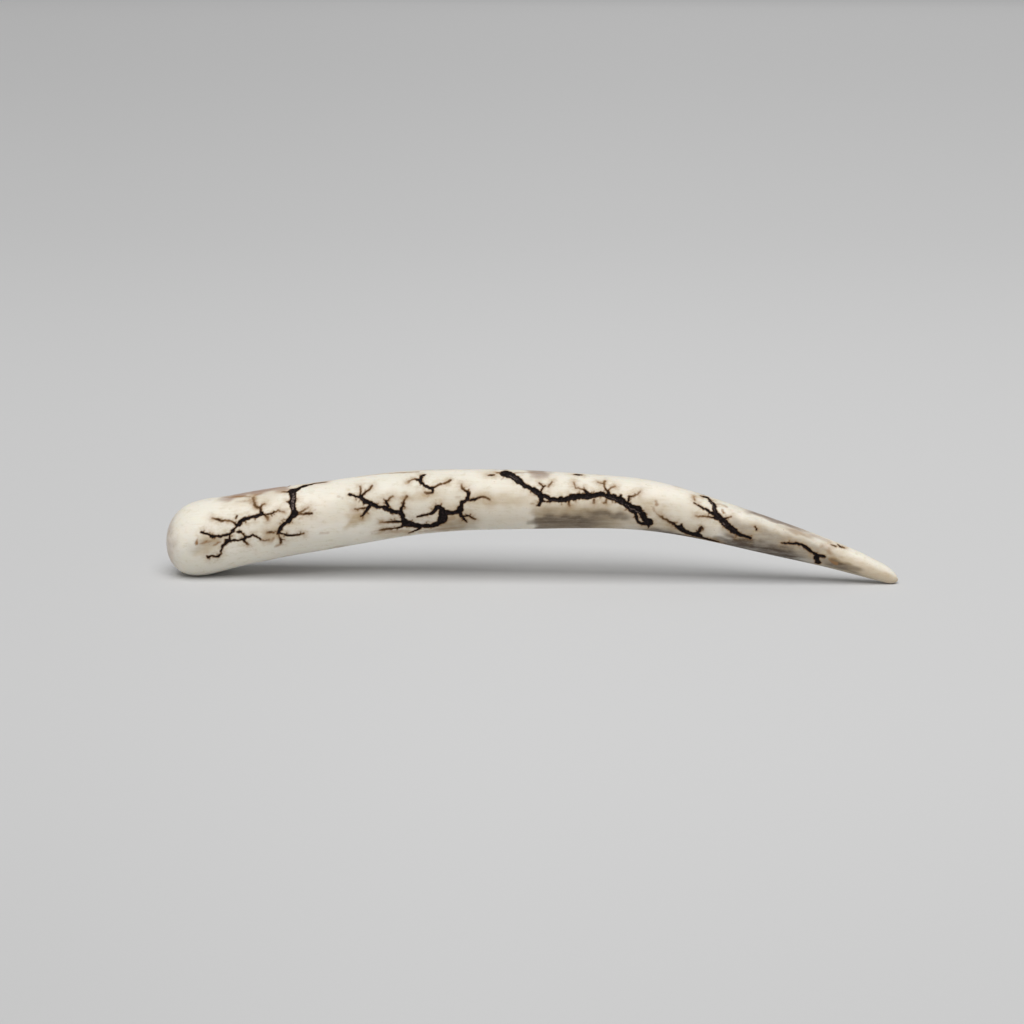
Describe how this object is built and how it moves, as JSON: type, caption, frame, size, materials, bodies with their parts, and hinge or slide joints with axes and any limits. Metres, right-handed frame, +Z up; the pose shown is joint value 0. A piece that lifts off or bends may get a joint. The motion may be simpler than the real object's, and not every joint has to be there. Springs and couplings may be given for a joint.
{
  "type": "deer antler tine",
  "caption": "Polished antler tine, arched from a blunt rounded butt to a narrow tip, resting on both ends.",
  "frame": {"origin": "on the rest plane, under the middle of the tine's bounding box", "axes": "+X runs from the butt to the tip, +Y points away from the pictured side, +Z is up"},
  "size_m": [0.15, 0.0146, 0.0225],
  "materials": {
    "polished_antler": "satin"
  },
  "bodies": {
    "root": {"antler_tine": "polished_antler"}
  },
  "joints": []
}
